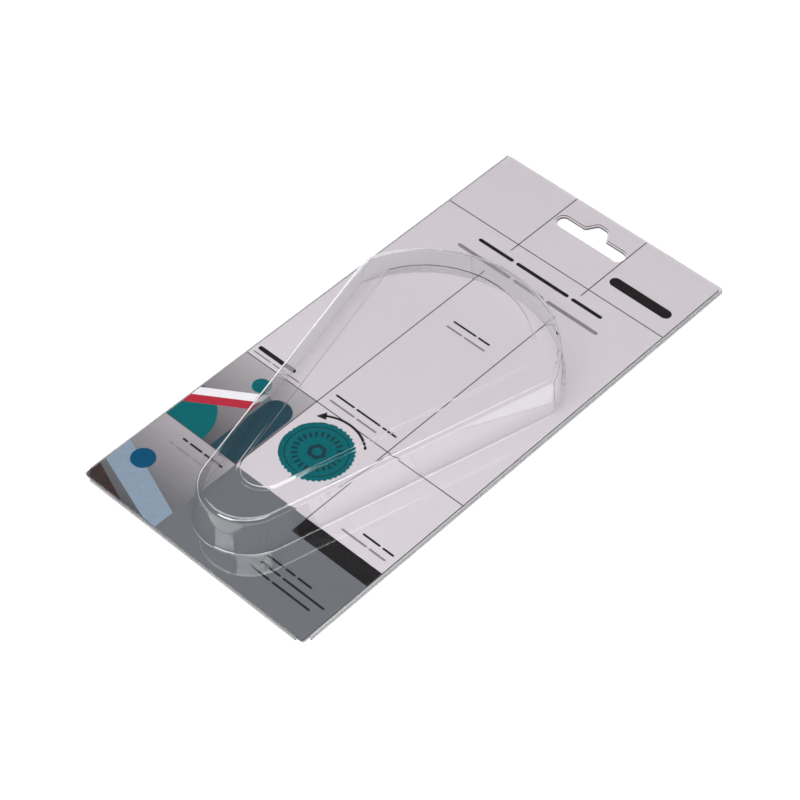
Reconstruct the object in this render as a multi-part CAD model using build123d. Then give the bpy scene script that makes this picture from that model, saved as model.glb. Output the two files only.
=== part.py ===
"""Slide blister pack for a hand tool: a printed card held in the folded edges of a clear formed sheet.

Millimetres, +Z up. The pack lies on its back with the hang slot towards +Y.
The origin is the middle of the pack's footprint, on the surface it lies on.
"""
import os
from math import cos, hypot, radians, sqrt, tan

from build123d import *

# Pack outline, over the folded edges
pack_width = 100.0
pack_length = 210.0

# Clear sheet: a flange over the card, folded behind it on three edges and open at the top
sheet_thickness = 0.4
lip_width = 6.0
fold_notch_length = 3.0
sheet_corner_radius = 1.5

# Card: slides between flange and lips, and sits against the left fold
card_thickness = 0.7
card_face_clearance = 0.05
card_play = 0.8
card_foot_gap = 0.2
card_head_inset = 0.2
card_corner_radius = 1.0

# Hang slot in the card: wide arms with a raised middle. The sheet's slot is larger by a margin
slot_width = 30.0
slot_arm_height = 5.5
slot_full_height = 10.0
slot_rise_base_width = 9.6
slot_rise_top_width = 4.4
slot_end_radius = 2.5
slot_shoulder_radius = 1.0
slot_crown_radius = 1.8
slot_top_margin = 5.2
slot_sheet_margin = 0.5

# Cavity: a round head, cut off at two corners, and straight sides that run in to a round tail
cavity_height = 14.3
cavity_draft_angle = 6.7
cavity_offset = 0.3
header_length = 53.2
flange_side_margin = 5.2
flange_foot_margin = 7.5
corner_rise = 15.2
tail_radius = 17.8
corner_inner_radius = 3.0
crown_inner_radius = 1.6
mouth_outer_radius = 1.0

# Low raised panel that stiffens the top of the cavity, with a rim left round it
panel_height = 0.5
panel_draft_angle = 66.0
panel_rim_width = 9.4
panel_tail_rim_width = 15.8
panel_corner_rise = 15.7
panel_corner_radius = 2.0
panel_tail_radius = 7.5
panel_edge_radius = 1.0

# Cuts run this far past the faces that they open, and the panel starts this far inside the cavity's form
overrun = 2.0

# Levels and bend lines that follow from the sizes above
channel_height = card_thickness + 2 * card_face_clearance
fold_inner_radius = channel_height / 2
fold_outer_radius = fold_inner_radius + sheet_thickness
flange_bottom_z = sheet_thickness + channel_height
flange_top_z = flange_bottom_z + sheet_thickness
bend_x = pack_width / 2 - fold_outer_radius
bend_y = pack_length / 2 - fold_outer_radius
top_y = pack_length / 2
lip_reach = lip_width - fold_outer_radius

# Places of the cavity between the bend lines and under the header, and of the panel inside its rim
corner_x = bend_x - cavity_offset - flange_side_margin
head_radius = hypot(corner_x, corner_rise)
head_centre_y = top_y - header_length - head_radius
corner_y = head_centre_y + corner_rise
tail_low_y = flange_foot_margin - bend_y
tail_centre_y = tail_low_y + tail_radius
crown_inset = cavity_height * tan(radians(cavity_draft_angle))
panel_head_radius = head_radius - crown_inset - panel_rim_width
panel_corner_y = head_centre_y + panel_corner_rise
panel_tail_centre_y = tail_low_y + crown_inset + panel_tail_rim_width + panel_tail_radius


def pear_outline(head_r, head_y, kink_y, tail_r, tail_y):
    """Round head with a corner on each side, and sides that run tangent into a round tail."""
    kink_x = sqrt(head_r**2 - (kink_y - head_y) ** 2)
    rise = kink_y - tail_y
    reach = hypot(kink_x, rise)
    run = sqrt(reach**2 - tail_r**2)
    touch_x = tail_r * (tail_r * kink_x + run * rise) / reach**2
    touch_y = tail_y + tail_r * (tail_r * rise - run * kink_x) / reach**2
    head = ThreePointArc((-kink_x, kink_y), (0, head_y + head_r), (kink_x, kink_y))
    right_side = Line((kink_x, kink_y), (touch_x, touch_y))
    tail = ThreePointArc((touch_x, touch_y), (0, tail_y - tail_r), (-touch_x, touch_y))
    left_side = Line((-touch_x, touch_y), (-kink_x, kink_y))
    return make_face([head, right_side, tail, left_side])


def grown(outline, distance):
    """The outline moved outward, or inward by a negative distance, with its corners kept."""
    return offset(outline, amount=distance, kind=Kind.INTERSECTION)


def level_face(form, level):
    """The flat face of a form that lies at a level."""
    flat_faces = form.faces().filter_by(Axis.Z)
    return min(flat_faces, key=lambda face: abs(face.center().Z - level))


def underside_shift(draft_angle):
    """How far a drafted wall's two sides stand apart, each at the level of its own flat face."""
    return sheet_thickness * (1 / cos(radians(draft_angle)) - tan(radians(draft_angle)))


def panel_block(growth, level):
    """The raised panel on a form whose top is at a level, from below that level up."""
    outline = pear_outline(
        panel_head_radius, head_centre_y, panel_corner_y, panel_tail_radius, panel_tail_centre_y
    )
    for side in (-1, 1):
        corner = outline.vertices().sort_by(lambda vertex: side * vertex.X)[-1]
        outline = fillet(corner, panel_corner_radius)
    height = panel_height + overrun
    flare = height * tan(radians(panel_draft_angle))
    foot = Pos(0, 0, level - overrun) * grown(outline, growth + flare)
    return extrude(foot, amount=height, taper=panel_draft_angle)


def cavity_form(inset, base_z, corner_r, crown_r):
    """The form that one side of the sheet lies on, standing on a level, without the panel."""
    outline = pear_outline(head_radius, head_centre_y, corner_y, tail_radius, tail_centre_y)
    base = Pos(0, 0, base_z) * grown(outline, -inset)
    form = extrude(base, amount=cavity_height, taper=cavity_draft_angle)
    top_z = base_z + cavity_height
    upright_edges = form.edges() - level_face(form, base_z).edges() - level_face(form, top_z).edges()
    form = fillet(upright_edges.sort_by(Axis.Y)[-2:], corner_r)
    return fillet(level_face(form, top_z).edges(), crown_r)


def outer_cavity():
    """Outside of the cavity, with the panel's edge rounded over."""
    crown_z = flange_top_z + cavity_height
    corner_radius = corner_inner_radius + sheet_thickness
    crown_radius = crown_inner_radius + sheet_thickness
    form = cavity_form(0, flange_top_z, corner_radius, crown_radius) + panel_block(0, crown_z)
    form = fillet(level_face(form, crown_z + panel_height).edges(), panel_edge_radius)
    return Pos(cavity_offset, 0, 0) * form


def inner_cavity():
    """Inside of the cavity, with the panel's foot rounded."""
    crown_z = flange_bottom_z + cavity_height
    inset = underside_shift(cavity_draft_angle)
    form = cavity_form(inset, flange_bottom_z, corner_inner_radius, crown_inner_radius)
    form += panel_block(-underside_shift(panel_draft_angle), crown_z)
    form = fillet(level_face(form, crown_z).inner_wires()[0].edges(), panel_edge_radius)
    return Pos(cavity_offset, 0, 0) * form


def slot_outline():
    """Hang slot of the card, with each corner rounded by its own radius."""
    low_y = top_y - slot_top_margin - slot_full_height
    arm_y = low_y + slot_arm_height
    high_y = low_y + slot_full_height
    right_corners = [
        ((slot_width / 2, low_y), slot_end_radius),
        ((slot_width / 2, arm_y), slot_end_radius),
        ((slot_rise_base_width / 2, arm_y), slot_shoulder_radius),
        ((slot_rise_top_width / 2, high_y), slot_crown_radius),
    ]
    left_corners = [((-x, y), radius) for (x, y), radius in reversed(right_corners)]
    corners = right_corners + left_corners
    outline = make_face(Polyline(*[point for point, radius in corners], close=True))
    for point, radius in corners:
        outline = fillet(outline.vertices().sort_by_distance(point)[0], radius)
    return outline


def flange():
    """Flat sheet over the card, up to the bend lines."""
    length = top_y + bend_y
    return Pos(0, top_y - length / 2, flange_bottom_z) * extrude(Rectangle(2 * bend_x, length), sheet_thickness)


def fold(start, direction, length):
    """Half-round bend that carries the sheet behind the card, along a bend line."""
    ring = Circle(fold_outer_radius) - Circle(fold_inner_radius)
    outer_half = Pos(fold_outer_radius / 2, 0) * Rectangle(fold_outer_radius, 2 * fold_outer_radius)
    section = Plane(start, x_dir=direction.cross(Vector(0, 0, 1)), z_dir=direction)
    return extrude(section * (ring & outer_half), length)


def lip(points):
    return extrude(make_face(Polyline(*points, close=True)), sheet_thickness)


def folded_edges():
    """Folds and mitred lips on the left, right and bottom edges, notched at the bottom corners."""
    side_low_y = fold_notch_length - bend_y
    foot_x = bend_x - fold_notch_length
    side = fold((bend_x, side_low_y, fold_outer_radius), Vector(0, 1, 0), top_y - side_low_y)
    side += lip([
        (bend_x, top_y),
        (bend_x - lip_reach, top_y),
        (bend_x - lip_reach, side_low_y + lip_reach),
        (bend_x, side_low_y),
    ])
    foot = fold((-foot_x, -bend_y, fold_outer_radius), Vector(1, 0, 0), 2 * foot_x)
    foot += lip([
        (-foot_x, -bend_y),
        (foot_x, -bend_y),
        (foot_x - lip_reach, lip_reach - bend_y),
        (lip_reach - foot_x, lip_reach - bend_y),
    ])
    return side + mirror(side, about=Plane.YZ) + foot


def top_corner_cuts():
    """What rounds the sheet's two top corners, through flange, fold and lip."""
    r = sheet_corner_radius
    waste = Pos(r / 2, r / 2) * Rectangle(r, r) - Circle(r)
    cut = Pos(pack_width / 2 - r, top_y - r, -overrun) * extrude(waste, flange_top_z + 2 * overrun)
    return cut + mirror(cut, about=Plane.YZ)


def build_shell():
    """Clear sheet with its drafted cavity, folded edges and hang slot."""
    shell = flange() + outer_cavity()
    shell = fillet(level_face(shell, flange_top_z).inner_wires()[0].edges(), mouth_outer_radius)
    shell -= inner_cavity()
    mouth_inner_radius = mouth_outer_radius + sheet_thickness
    shell = fillet(level_face(shell, flange_bottom_z).inner_wires()[0].edges(), mouth_inner_radius)
    slot = Pos(0, 0, flange_bottom_z - overrun) * grown(slot_outline(), slot_sheet_margin)
    shell -= extrude(slot, sheet_thickness + 2 * overrun)
    return shell + folded_edges() - top_corner_cuts()


def build_card():
    """Flat card with rounded corners and the hang slot."""
    width = 2 * bend_x - card_play
    low_y = card_foot_gap - bend_y
    length = top_y - card_head_inset - low_y
    blank = Pos(width / 2 - bend_x, low_y + length / 2) * RectangleRounded(width, length, card_corner_radius)
    blank -= slot_outline()
    return Pos(0, 0, sheet_thickness + card_face_clearance) * extrude(blank, card_thickness)


os.makedirs("parts", exist_ok=True)
export_step(build_card(), "parts/backing_card.step")
export_step(build_shell(), "parts/blister_shell.step")
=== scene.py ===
"""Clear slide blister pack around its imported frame: printed card, clear formed sheet, pale studio."""
import math

import bmesh
import bpy
from mathutils import Matrix, Vector


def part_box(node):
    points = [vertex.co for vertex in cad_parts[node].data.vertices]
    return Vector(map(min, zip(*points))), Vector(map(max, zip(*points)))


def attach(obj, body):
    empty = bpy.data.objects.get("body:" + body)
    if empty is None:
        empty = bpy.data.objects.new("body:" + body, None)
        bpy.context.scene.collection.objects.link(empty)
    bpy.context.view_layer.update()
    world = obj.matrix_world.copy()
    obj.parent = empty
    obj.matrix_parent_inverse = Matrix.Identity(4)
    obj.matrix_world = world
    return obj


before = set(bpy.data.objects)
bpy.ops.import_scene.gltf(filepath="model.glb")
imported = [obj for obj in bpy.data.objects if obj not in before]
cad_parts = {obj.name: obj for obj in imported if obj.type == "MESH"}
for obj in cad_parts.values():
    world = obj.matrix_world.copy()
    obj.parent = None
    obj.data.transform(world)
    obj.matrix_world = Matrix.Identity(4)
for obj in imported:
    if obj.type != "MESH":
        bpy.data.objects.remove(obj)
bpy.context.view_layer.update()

MM = 0.001

# Card face in millimetres, and the thin ink that lies on it under the clear sheet
card_low, card_high = (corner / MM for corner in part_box("backing_card"))
CARD_TOP = card_high.z
CARD_CORNER = 1.0
INK_STEP = 0.005

# Lines of the print in millimetres, with a gap where the title runs
LEFT_LINE_X = -16.6
RIGHT_LINE_X = 15.5
UPPER_LINE_Y = 72.7
MIDDLE_LINE_Y = -29.9
FIELD_TOP_Y = -68.0
LINE_WIDTH = 0.42
TITLE_LOW_Y = 54.8
TITLE_HIGH_Y = 68.6
BLACK_BAR_LOW_Y = -75.0

# Bend lines of the clear sheet's folds, and how far the crease, with its painted shade and haze, reaches on
# each side of them
BEND_X = 49.2
BEND_Y = 104.2
CREASE_REACH = 0.3


def linear(value):
    """Screen level from 0 to 255 as linear light."""
    share = value / 255
    return share / 12.92 if share <= 0.04045 else ((share + 0.055) / 1.055) ** 2.4


def rgb(red, green, blue):
    """Screen colour as linear colour with full alpha."""
    return linear(red), linear(green), linear(blue), 1.0


# Outlines, in millimetres on the card's face, anticlockwise

def arc(cx, cy, radius, start, end, steps):
    """Points on an arc, angles in degrees."""
    angles = [math.radians(start + (end - start) * i / steps) for i in range(steps + 1)]
    return [(cx + radius * math.cos(a), cy + radius * math.sin(a)) for a in angles]


def disc(cx, cy, radius, steps=72):
    """Circle, or a regular polygon where the steps are few."""
    return arc(cx, cy, radius, 0, 360, steps)[:-1]


def rect(x0, y0, x1, y1):
    return [(x0, y0), (x1, y0), (x1, y1), (x0, y1)]


def bar(x0, x1, y, height, steps=8):
    """Bar along X with round ends."""
    r = height / 2
    return arc(x1 - r, y, r, -90, 90, steps) + arc(x0 + r, y, r, 90, 270, steps)


def slanted_band(x0, low0, x1, low1, height):
    """Band of even height that climbs from one place to another."""
    return [(x0, low0 + height), (x0, low0), (x1, low1), (x1, low1 + height)]


def rounded(points, corner, radius, steps=6):
    """Outline with one of its square corners rounded."""
    before, here, after = (Vector(points[(corner + i) % len(points)]) for i in (-1, 0, 1))
    a, b = (before - here).normalized(), (after - here).normalized()
    centre = here + (a + b) * radius
    fillet = []
    for i in range(steps + 1):
        t = math.pi / 2 * i / steps
        fillet.append(tuple(centre - b * radius * math.cos(t) - a * radius * math.sin(t)))
    return points[:corner] + fillet + points[corner + 1:]


def words(x0, y, height, lengths, gap):
    """Row of plain bars, one for each word of a line."""
    row, x = [], x0
    for length in lengths:
        row.append(bar(x, x + length, y, height))
        x += length + gap
    return row


# Meshes

def add_prism(bm, outline, low, high):
    """Closed prism over an outline."""
    bottom = [bm.verts.new((x * MM, y * MM, low * MM)) for x, y in outline]
    top = [bm.verts.new((x * MM, y * MM, high * MM)) for x, y in outline]
    count = len(outline)
    bm.faces.new(top)
    bm.faces.new(reversed(bottom))
    for i in range(count):
        j = (i + 1) % count
        bm.faces.new((bottom[i], bottom[j], top[j], top[i]))


def add_ring(bm, outer, inner, low, high):
    """Closed ring between two outlines of as many points."""
    loops = []
    for outline in (outer, inner):
        for level in (low, high):
            loops.append([bm.verts.new((x * MM, y * MM, level * MM)) for x, y in outline])
    outer_low, outer_high, inner_low, inner_high = loops
    count = len(outer)
    for i in range(count):
        j = (i + 1) % count
        bm.faces.new((outer_high[i], outer_high[j], inner_high[j], inner_high[i]))
        bm.faces.new((outer_low[j], outer_low[i], inner_low[i], inner_low[j]))
        bm.faces.new((outer_low[i], outer_low[j], outer_high[j], outer_high[i]))
        bm.faces.new((inner_low[j], inner_low[i], inner_high[i], inner_high[j]))


def ink_piece(name, layer, material, outlines=(), rings=()):
    """Print of one ink: thin closed shapes on the card's face, a layer higher than what they overprint."""
    bm = bmesh.new()
    high = CARD_TOP + INK_STEP * (layer + 1)
    for outline in outlines:
        add_prism(bm, outline, CARD_TOP, high)
    for outer, inner in rings:
        add_ring(bm, outer, inner, CARD_TOP, high)
    bmesh.ops.triangulate(bm, faces=[face for face in bm.faces if len(face.verts) > 4])
    mesh = bpy.data.meshes.new(name)
    bm.to_mesh(mesh)
    bm.free()
    mesh.materials.append(material)
    piece = bpy.data.objects.new(name, mesh)
    bpy.context.scene.collection.objects.link(piece)
    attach(piece, "card")


# Materials

class Graph:
    """A material's node tree, with short ways to add to it."""

    def __init__(self, name):
        self.material = bpy.data.materials.new(name)
        self.material.use_nodes = True
        self.tree = self.material.node_tree
        self.tree.nodes.clear()
        self.output = self.add("ShaderNodeOutputMaterial")

    def add(self, kind, **settings):
        """New node, with settings of the node itself or else of its inputs."""
        node = self.tree.nodes.new(kind)
        for key, value in settings.items():
            if hasattr(node, key):
                setattr(node, key, value)
            else:
                node.inputs[key.replace("_", " ").title()].default_value = value
        return node

    def link(self, source, target):
        self.tree.links.new(source, target)

    def finish(self, surface):
        self.link(surface, self.output.inputs["Surface"])
        return self.material

    def coords(self):
        return self.add("ShaderNodeTexCoord").outputs["Object"]

    def noise(self, scale, detail, roughness=0.55):
        node = self.add("ShaderNodeTexNoise", scale=scale, detail=detail, roughness=roughness)
        self.link(self.coords(), node.inputs["Vector"])
        return node.outputs["Fac"]

    def ramp(self, factor, stops):
        """Colour ramp with two or three stops, each a place and a colour."""
        node = self.add("ShaderNodeValToRGB")
        elements = node.color_ramp.elements
        while len(elements) < len(stops):
            elements.new(stops[1][0])
        for element, (place, colour) in zip(elements, stops):
            element.position = place
            element.color = colour
        self.link(factor, node.inputs["Fac"])
        return node.outputs["Color"]

    def span(self, value, **limits):
        """A value carried from one range to another, each 0 to 1 unless a limit says otherwise."""
        node = self.add("ShaderNodeMapRange", **limits)
        self.link(value, node.inputs["Value"])
        return node.outputs["Result"]

    def axis(self, name, low, high):
        """0 to 1 along an axis of the object, between two places in millimetres."""
        split = self.add("ShaderNodeSeparateXYZ")
        self.link(self.coords(), split.inputs[0])
        return self.span(split.outputs[name], from_min=low * MM, from_max=high * MM)

    def calc(self, operation, first, second=None):
        """A math node's result on sockets and numbers."""
        node = self.add("ShaderNodeMath", operation=operation)
        for socket, value in zip(node.inputs, (first, second)):
            if isinstance(value, float):
                socket.default_value = value
            elif value is not None:
                self.link(value, socket)
        return node.outputs[0]

    def mix(self, factor, first, second, blend="MIX"):
        """Mix of two colours, each a socket or a plain colour."""
        node = self.add("ShaderNodeMix", data_type="RGBA", blend_type=blend)
        if isinstance(factor, float):
            node.inputs["Factor"].default_value = factor
        else:
            self.link(factor, node.inputs["Factor"])
        for socket, value in ((node.inputs[6], first), (node.inputs[7], second)):
            if isinstance(value, tuple):
                socket.default_value = value
            else:
                self.link(value, socket)
        return node.outputs[2]

    def choose(self, factor, first, second):
        """Mix of two shaders."""
        node = self.add("ShaderNodeMixShader")
        for socket, source in zip(node.inputs, (factor, first, second)):
            self.link(source, socket)
        return node.outputs[0]

    def bump(self, height, strength, distance):
        node = self.add("ShaderNodeBump", strength=strength, distance=distance)
        self.link(height, node.inputs["Height"])
        return node.outputs["Normal"]


# Looks of ink and board. A grain is a noise's scale, detail and roughness, and a tooth is a bump's strength
# and distance
PRINT_SPECULAR = 0.04
INK_ROUGHNESS = 0.5
INK_GRAIN = (700.0, 4.0)
INK_TOOTH_GRAIN = (2600.0, 2.0)
INK_TOOTH = (0.15, 0.00002)
GRAIN_LOW = 0.3
GRAIN_HIGH = 0.7
GRADED_SPREAD = 0.05
BOARD_COLOUR = rgb(211, 204, 210)
BOARD_SPREAD = 0.012
BOARD_GRAIN = (320.0, 4.0)
BOARD_ROUGHNESS = 0.55
BOARD_TOOTH_GRAIN = (1500.0, 4.0)
BOARD_TOOTH = (0.2, 0.00003)
FIBRE_GRAIN = (1900.0, 5.0, 0.7)
FIBRE_STOPS = [(0.35, rgb(203, 196, 202)), (0.65, rgb(221, 216, 221))]
FIBRE_SHARE = 0.16
CORE_GRAIN = (5200.0, 3.0)
CORE_STOPS = [(0.35, rgb(92, 88, 90)), (0.7, rgb(138, 134, 134))]
CUT_EDGE_TILT = 0.5

# Look of the clear sheet: its faces turn back a small share of the light head on, and more of it at a slant
SHEET_IOR = 1.57
SHEET_ROUGHNESS = 0.03
SHEET_GRAIN = (60.0, 2.0)
SHEET_STOPS = [(0.3, (0.97, 0.975, 0.98, 1)), (0.7, (0.98, 0.985, 0.985, 1))]
SHEET_WAVE_GRAIN = (55.0, 1.0)
SHEET_WAVE = (0.06, 0.0004)
# Grey mixed in along the folds is painted shade for their dark edges; the rougher finish there is crease
# haze
CREASE_PAINTED_SHADE = (0.5, 0.5, 0.51, 1)
CREASE_ROUGHNESS = 0.15
TURNED_HEAD_ON = 0.04
TURNED_POWER = 5.0
FACING_BLEND = 0.5
THIN_ROUGHNESS = 0.08


def scaled(colour, share):
    return tuple(channel * share for channel in colour[:3]) + (1.0,)


def mottled(graph, colour, spread, grain):
    """A colour that varies a little, as ink does on board."""
    return graph.ramp(graph.noise(*grain), [
        (GRAIN_LOW, scaled(colour, 1 - spread)),
        (GRAIN_HIGH, scaled(colour, 1 + spread)),
    ])


def finish_print(graph, colour, roughness, tooth_grain, tooth):
    """Almost matt surface of a colour, with a fine tooth."""
    shader = graph.add("ShaderNodeBsdfPrincipled", roughness=roughness)
    shader.inputs["Specular IOR Level"].default_value = PRINT_SPECULAR
    graph.link(colour, shader.inputs["Base Color"])
    graph.link(graph.bump(graph.noise(*tooth_grain), *tooth), shader.inputs["Normal"])
    return graph.finish(shader.outputs[0])


def ink(name, colour, spread=0.06):
    graph = Graph(name)
    colour = mottled(graph, colour, spread, INK_GRAIN)
    return finish_print(graph, colour, INK_ROUGHNESS, INK_TOOTH_GRAIN, INK_TOOTH)


def graded_ink(name, low_y, high_y, stops):
    """Ink that runs from tone to tone up the card."""
    graph = Graph(name)
    tone = graph.ramp(graph.axis("Y", low_y, high_y), stops)
    grain = graph.ramp(graph.noise(*INK_GRAIN), [
        (GRAIN_LOW, scaled((1, 1, 1), 1 - GRADED_SPREAD)),
        (GRAIN_HIGH, (1, 1, 1, 1)),
    ])
    colour = graph.mix(1.0, tone, grain, "MULTIPLY")
    return finish_print(graph, colour, INK_ROUGHNESS, INK_TOOTH_GRAIN, INK_TOOTH)


def board():
    """Coated board: pale face, cut edges that show the grey core, plain back."""
    graph = Graph("coated_board")
    face = mottled(graph, BOARD_COLOUR, BOARD_SPREAD, BOARD_GRAIN)
    face = graph.mix(FIBRE_SHARE, face, graph.ramp(graph.noise(*FIBRE_GRAIN), FIBRE_STOPS))
    core = graph.ramp(graph.noise(*CORE_GRAIN), CORE_STOPS)
    split = graph.add("ShaderNodeSeparateXYZ")
    graph.link(graph.add("ShaderNodeNewGeometry").outputs["Normal"], split.inputs[0])
    cut = graph.calc("LESS_THAN", graph.calc("ABSOLUTE", split.outputs["Z"]), CUT_EDGE_TILT)
    colour = graph.mix(cut, face, core)
    return finish_print(graph, colour, BOARD_ROUGHNESS, BOARD_TOOTH_GRAIN, BOARD_TOOTH)


def clear_sheet():
    """Clear sheet, greyed along its folds by painted shade and rougher there with crease haze, that bends
    what is behind it and turns some light back.
    """
    graph = Graph("clear_formed_sheet")
    fold_haze_and_shade_mask = graph.axis("X", BEND_X - CREASE_REACH, BEND_X + CREASE_REACH)
    for name, bend in (("X", -BEND_X), ("Y", -BEND_Y)):
        fold_haze_and_shade_mask = graph.calc("MAXIMUM", fold_haze_and_shade_mask, graph.axis(name, bend + CREASE_REACH, bend - CREASE_REACH))
    # Painted shade: grey mixed into the sheet's own tint along the folds, while the roughness there is real
    # crease haze
    sheet_tint_and_painted_shade = graph.mix(fold_haze_and_shade_mask, graph.ramp(graph.noise(*SHEET_GRAIN), SHEET_STOPS), CREASE_PAINTED_SHADE)
    roughness = graph.span(fold_haze_and_shade_mask, to_min=SHEET_ROUGHNESS, to_max=CREASE_ROUGHNESS)
    glass = graph.add("ShaderNodeBsdfPrincipled")
    glass.inputs["Transmission Weight"].default_value = 1.0
    glass.inputs["IOR"].default_value = SHEET_IOR
    graph.link(sheet_tint_and_painted_shade, glass.inputs["Base Color"])
    graph.link(roughness, glass.inputs["Roughness"])
    graph.link(graph.bump(graph.noise(*SHEET_WAVE_GRAIN), *SHEET_WAVE), glass.inputs["Normal"])

    facing = graph.add("ShaderNodeLayerWeight", blend=FACING_BLEND).outputs["Facing"]
    turned = graph.span(graph.calc("POWER", facing, TURNED_POWER), to_min=TURNED_HEAD_ON)
    dimmed = graph.add("ShaderNodeBsdfTransparent")
    graph.link(graph.calc("SUBTRACT", 1.0, turned), dimmed.inputs["Color"])
    clear = graph.add("ShaderNodeBsdfTransparent")
    gloss = graph.add("ShaderNodeBsdfGlossy", roughness=THIN_ROUGHNESS)
    thin = graph.choose(turned, clear.outputs[0], gloss.outputs[0])

    path = graph.add("ShaderNodeLightPath")
    inner = graph.choose(path.outputs["Is Diffuse Ray"], glass.outputs[0], thin)
    return graph.finish(graph.choose(path.outputs["Is Shadow Ray"], inner, dimmed.outputs[0]))


def dress(node, material):
    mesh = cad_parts[node].data
    mesh.materials.clear()
    mesh.materials.append(material)


dress("backing_card", board())
dress("blister_shell", clear_sheet())

# Inks of the print
line_ink = ink("line_ink", rgb(84, 79, 83))
black_ink = ink("black_ink", rgb(31, 29, 31))
soft_ink = ink("soft_grey_ink", rgb(138, 132, 137))
field_ink = ink("grey_field_ink", rgb(108, 111, 116), 0.025)
teal_ink = ink("teal_ink", rgb(0, 97, 103), 0.1)
deep_teal_ink = ink("deep_teal_ink", rgb(22, 56, 66), 0.1)
slate_ink = ink("slate_ink", rgb(38, 68, 80), 0.12)
red_ink = ink("red_ink", rgb(178, 44, 62), 0.08)
white_ink = ink("white_ink", rgb(236, 234, 238), 0.02)
pale_blue_ink = ink("pale_blue_ink", rgb(136, 152, 170))
blue_ink = ink("blue_ink", rgb(4, 76, 112), 0.1)
brown_ink = ink("brown_ink", rgb(58, 46, 44), 0.2)
upper_ink = graded_ink("upper_picture_ink", low_y=-68, high_y=-30, stops=[
    (0.0, rgb(82, 81, 85)), (0.45, rgb(132, 128, 132)), (1.0, rgb(176, 172, 176)),
])
lower_ink = graded_ink("lower_picture_ink", low_y=-104, high_y=-68, stops=[
    (0.0, rgb(86, 87, 91)), (0.4, rgb(118, 117, 121)), (1.0, rgb(172, 167, 172)),
])

# Grid lines, grey field and black bar
half = LINE_WIDTH / 2
grid = []
for x in (LEFT_LINE_X, RIGHT_LINE_X):
    grid.append(rect(x - half, TITLE_HIGH_Y, x + half, card_high.y))
    grid.append(rect(x - half, FIELD_TOP_Y, x + half, TITLE_LOW_Y))
for y in (UPPER_LINE_Y, MIDDLE_LINE_Y):
    grid.append(rect(card_low.x, y - half, card_high.x, y + half))
ink_piece("print_lines", 0, line_ink, grid)
field = rect(LEFT_LINE_X, card_low.y, card_high.x, FIELD_TOP_Y)
ink_piece("print_grey_field", 0, field_ink, [rounded(field, corner=1, radius=CARD_CORNER)])
black_bar = rect(RIGHT_LINE_X, BLACK_BAR_LOW_Y, card_high.x, FIELD_TOP_Y)
ink_piece("print_black_bar", 1, black_ink, [black_bar])

# Two picture fields
upper = rect(card_low.x, FIELD_TOP_Y, LEFT_LINE_X - half, MIDDLE_LINE_Y - half)
lower = rect(card_low.x, card_low.y, LEFT_LINE_X, FIELD_TOP_Y)
ink_piece("print_upper_picture", 0, upper_ink, [upper])
ink_piece("print_lower_picture", 0, lower_ink, [rounded(lower, corner=0, radius=CARD_CORNER)])

# Plain shapes in the picture fields. A dot is its middle and radius, and other shapes start at the card's
# left edge or stand on a field's low edge
UPPER_FOOT_Y = -67.6
LOWER_FOOT_Y = -103.9
QUARTER_RADIUS = 16.8
TEAL_DOT = (-34.8, -37.6, 3.3)
BAND_LOW_LEFT_Y = -60.5
BAND_END_X = -30.0
BAND_LOW_END_Y = -47.5
WHITE_BAND_HEIGHT = 8.5
RED_BAND_HEIGHT = 4.3
SLATE_LEFT_X = -28.6
SLATE_RIGHT_X = -17.2
SLATE_TOP_Y = -43.0
SLATE_RADIUS = (SLATE_RIGHT_X - SLATE_LEFT_X) / 2
SLATE_MIDDLE_X = (SLATE_RIGHT_X + SLATE_LEFT_X) / 2
BLUE_DOT = (-40.4, -86.6, 4.3)
left = card_low.x
quarter = [(left, UPPER_FOOT_Y)] + arc(left, UPPER_FOOT_Y, QUARTER_RADIUS, 0, 90, steps=30)
slate_top = arc(SLATE_MIDDLE_X, SLATE_TOP_Y, SLATE_RADIUS, 0, 180, steps=20)
slate = [(SLATE_LEFT_X, UPPER_FOOT_Y), (SLATE_RIGHT_X, UPPER_FOOT_Y)] + slate_top
pale_blue = [(left, -84.0), (left, -95.0), (-22.4, LOWER_FOOT_Y), (-16.8, LOWER_FOOT_Y), (-16.8, -96.0)]
brown = [(left, -97.5), (left, -101.6), (-47.2, LOWER_FOOT_Y), (-32.3, LOWER_FOOT_Y)]
band = (left, BAND_LOW_LEFT_Y, BAND_END_X, BAND_LOW_END_Y)
ink_piece("print_teal_shapes", 1, teal_ink, [quarter, disc(*TEAL_DOT)])
ink_piece("print_white_shapes", 2, white_ink, [slanted_band(*band, WHITE_BAND_HEIGHT)])
ink_piece("print_red_shapes", 3, red_ink, [slanted_band(*band, RED_BAND_HEIGHT)])
ink_piece("print_slate_shapes", 1, slate_ink, [slate])
ink_piece("print_pale_blue_shapes", 1, pale_blue_ink, [pale_blue])
ink_piece("print_blue_shapes", 2, blue_ink, [disc(*BLUE_DOT)])
ink_piece("print_brown_shapes", 1, brown_ink, [brown])

# Round closure with a fluted edge, a ring of ticks with half angles in degrees, a thin ring and a hexagon
CAP_X = -1.3
CAP_Y = -45.7
CAP_RADIUS = 12.6
CAP_FLUTES = 42
CAP_FLUTE_DEPTH = 0.28
CAP_FLUTE_STEPS = 8
CAP_LINE_RADII = (10.9, 10.5)
HEXAGON_RADII = (3.5, 1.9)
TICK_COUNT = 24
TICK_OUTER_RADIUS = 8.7
TICK_INNER_RADIUS = 6.5
TICK_OUTER_HALF = 3.2
TICK_INNER_HALF = 4.2
TICK_STEPS = 3
cap_points = CAP_FLUTES * CAP_FLUTE_STEPS
flutes = []
for i in range(cap_points):
    a = 2 * math.pi * i / cap_points
    reach = CAP_RADIUS + CAP_FLUTE_DEPTH * math.cos(CAP_FLUTES * a)
    flutes.append((CAP_X + reach * math.cos(a), CAP_Y + reach * math.sin(a)))
ink_piece("print_cap", 1, teal_ink, [flutes])
ticks = []
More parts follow.
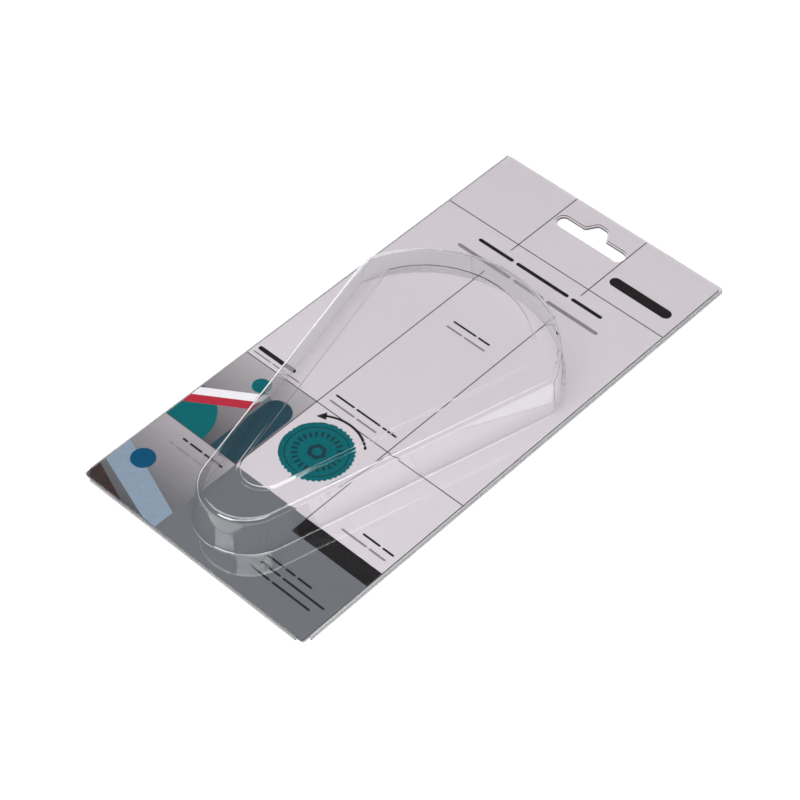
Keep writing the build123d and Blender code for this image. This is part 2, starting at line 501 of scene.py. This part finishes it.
for i in range(TICK_COUNT):
    a = 360 / TICK_COUNT * i
    outer_arc = arc(CAP_X, CAP_Y, TICK_OUTER_RADIUS, a - TICK_OUTER_HALF, a + TICK_OUTER_HALF, TICK_STEPS)
    inner_arc = arc(CAP_X, CAP_Y, TICK_INNER_RADIUS, a + TICK_INNER_HALF, a - TICK_INNER_HALF, TICK_STEPS)
    ticks.append(outer_arc + inner_arc)
cap_rings = [
    [disc(CAP_X, CAP_Y, radius) for radius in CAP_LINE_RADII],
    [disc(CAP_X, CAP_Y, radius, steps=6) for radius in HEXAGON_RADII],
]
ink_piece("print_cap_marks", 2, deep_teal_ink, ticks, cap_rings)

# Arrow that turns round the closure: its shaft, and its head as steps out from the shaft at angles
ARROW_RADIUS = 15.8
ARROW_WIDTH = 0.95
ARROW_START = 46.5
ARROW_END = 124.5
ARROW_STEPS = 40
ARROW_HEAD = [(1.7, 122.5), (-0.2, 135), (-1.7, 121.5)]
arrow_outer = ARROW_RADIUS + ARROW_WIDTH / 2
arrow_inner = ARROW_RADIUS - ARROW_WIDTH / 2
arrow_shaft = arc(CAP_X, CAP_Y, arrow_outer, ARROW_START, ARROW_END, ARROW_STEPS)
arrow_shaft += arc(CAP_X, CAP_Y, arrow_inner, ARROW_END, ARROW_START, ARROW_STEPS)
arrow_head = [arc(CAP_X, CAP_Y, ARROW_RADIUS + step, angle, angle, 1)[0] for step, angle in ARROW_HEAD]
ink_piece("print_arrow", 1, black_ink, [arrow_shaft, arrow_head])

# Rows of plain bars where lines of small print sit: left end, place up the card, height, lengths, gap
TITLE_HEIGHT = 1.5
SMALL_HEIGHT = 0.8
CAPTION_HEIGHT = 1.8
NOTE_HEIGHT = 0.6
DARK_ROWS = [
    (-28.5, 65.2, TITLE_HEIGHT, [16.1, 23.7, 13.6], 1.4),
    (-8.2, 29.0, SMALL_HEIGHT, [10.4, 5.3], 0.8),
    (-14.0, -23.3, SMALL_HEIGHT, [8.5, 10.9, 6.4], 0.8),
    (33.1, -60.4, SMALL_HEIGHT, [7.6, 4.9], 0.9),
    (-37.1, -71.8, SMALL_HEIGHT, [2.4, 5.7, 8.4], 0.9),
    (17.2, -87.4, SMALL_HEIGHT, [7.1, 4.3, 6.2], 0.9),
    (17.2, -90.7, SMALL_HEIGHT, [9.0, 18.0], 0.9),
    (17.2, -94.1, SMALL_HEIGHT, [7.6, 16.4], 0.9),
    (-48.0, -25.4, CAPTION_HEIGHT, [17.1], 1.0),
]
SOFT_ROWS = [
    (-32.3, 58.3, TITLE_HEIGHT, [24.6, 13.3, 22.8], 1.5),
    (-8.6, 25.8, SMALL_HEIGHT, [7.1, 9.5], 0.8),
    (-14.0, -26.4, SMALL_HEIGHT, [11.4, 9.0], 0.8),
    (26.8, -63.6, SMALL_HEIGHT, [10.9, 7.2], 0.9),
    (-39.4, -75.8, SMALL_HEIGHT, [2.3, 6.6, 7.6], 0.9),
    (-48.0, -27.9, NOTE_HEIGHT, [8.1, 5.7, 6.6], 0.7),
]

# Plain bar at the top right: left end, right end, place up the card, height
BADGE = (17.9, 44.5, 82.0, 4.4)
dark_rows = [bar(*BADGE)] + [word for row in DARK_ROWS for word in words(*row)]
soft_rows = [word for row in SOFT_ROWS for word in words(*row)]
ink_piece("print_dark_rows", 1, black_ink, dark_rows)
ink_piece("print_soft_rows", 1, soft_ink, soft_rows)

# Studio: a white floor, lifted where it is seen, reflected or seen through, and a dim room, in metres
FLOOR_HALF = 4.0
FLOOR_DROP = 0.00005
FLOOR_WHITE = (0.9, 0.9, 0.9, 1)
FLOOR_LIFT = 0.17
ROOM_COLOUR = (1.0, 0.985, 0.99, 1)
ROOM_STRENGTH = 0.04
floor_mesh = bpy.data.meshes.new("studio_floor")
floor_corners = rect(-FLOOR_HALF, -FLOOR_HALF, FLOOR_HALF, FLOOR_HALF)
floor_mesh.from_pydata([(x, y, 0) for x, y in floor_corners], [], [(0, 1, 2, 3)])
floor = bpy.data.objects.new("studio_floor", floor_mesh)
bpy.context.scene.collection.objects.link(floor)
floor.location.z = -FLOOR_DROP
graph = Graph("studio_white")
white = graph.add("ShaderNodeBsdfDiffuse")
white.inputs["Color"].default_value = FLOOR_WHITE
lift = graph.add("ShaderNodeEmission")
lift.inputs["Strength"].default_value = FLOOR_LIFT
lifted = graph.add("ShaderNodeAddShader")
graph.link(white.outputs[0], lifted.inputs[0])
graph.link(lift.outputs[0], lifted.inputs[1])
path = graph.add("ShaderNodeLightPath")
seen = graph.calc("MAXIMUM", path.outputs["Is Camera Ray"], path.outputs["Is Glossy Ray"])
seen = graph.calc("MAXIMUM", seen, path.outputs["Is Transmission Ray"])
floor_mesh.materials.append(graph.finish(graph.choose(seen, white.outputs[0], lifted.outputs[0])))

world = bpy.data.worlds.new("studio_world")
bpy.context.scene.world = world
world.use_nodes = True
background = world.node_tree.nodes["Background"]
background.inputs["Color"].default_value = ROOM_COLOUR
background.inputs["Strength"].default_value = ROOM_STRENGTH


def soft_box(name, place, width, height, power, aim=None, turn=0.0):
    """Rectangular lamp that faces an aim, or straight down with its width turned from X by some degrees."""
    lamp = bpy.data.lights.new(name, "AREA")
    lamp.shape = "RECTANGLE"
    lamp.size = width
    lamp.size_y = height
    lamp.energy = power
    holder = bpy.data.objects.new(name, lamp)
    holder.location = place
    holder.rotation_euler.z = math.radians(turn)
    if aim is not None:
        holder.rotation_euler = (Vector(aim) - Vector(place)).to_track_quat("-Z", "Y").to_euler()
    bpy.context.scene.collection.objects.link(holder)


soft_box("front_box", place=(-0.07, -1.05, 0.98), width=0.74, height=0.66, power=13.4, aim=(0, 0, 0))
soft_box("side_box", place=(0.41, -0.34, 1.2), width=0.85, height=0.52, power=7.8, turn=61.7)
soft_box("overhead_box", place=(-0.2, 0.17, 1.2), width=1.15, height=0.6, power=6.6, turn=18.0)

# Camera at the photo's angle: distance and aim in millimetres, lens from the focal length in pixels
AZIMUTH = math.radians(41.38)
ELEVATION = math.radians(48.12)
ROLL = math.radians(1.68)
DISTANCE = 845.9
AIM = Vector((3.03, -10.35, 1.4))
FOCAL_PIXELS = 2540.8
IMAGE_PIXELS = 800.0
SENSOR = 36.0
level_reach = math.cos(ELEVATION)
back = Vector((math.sin(AZIMUTH) * level_reach, -math.cos(AZIMUTH) * level_reach, math.sin(ELEVATION)))
right = Vector((math.cos(AZIMUTH), math.sin(AZIMUTH), 0))
up = back.cross(right)
rolled_right = right * math.cos(ROLL) + up * math.sin(ROLL)
rolled_up = up * math.cos(ROLL) - right * math.sin(ROLL)
camera_data = bpy.data.cameras.new("camera")
camera_data.sensor_width = SENSOR
camera_data.lens = FOCAL_PIXELS / IMAGE_PIXELS * SENSOR
camera = bpy.data.objects.new("camera", camera_data)
camera_turn = Matrix((rolled_right, rolled_up, back)).transposed().to_4x4()
camera.matrix_world = Matrix.Translation((AIM + back * DISTANCE) * MM) @ camera_turn
bpy.context.scene.collection.objects.link(camera)
bpy.context.scene.camera = camera

bpy.context.scene.view_settings.view_transform = "Standard"
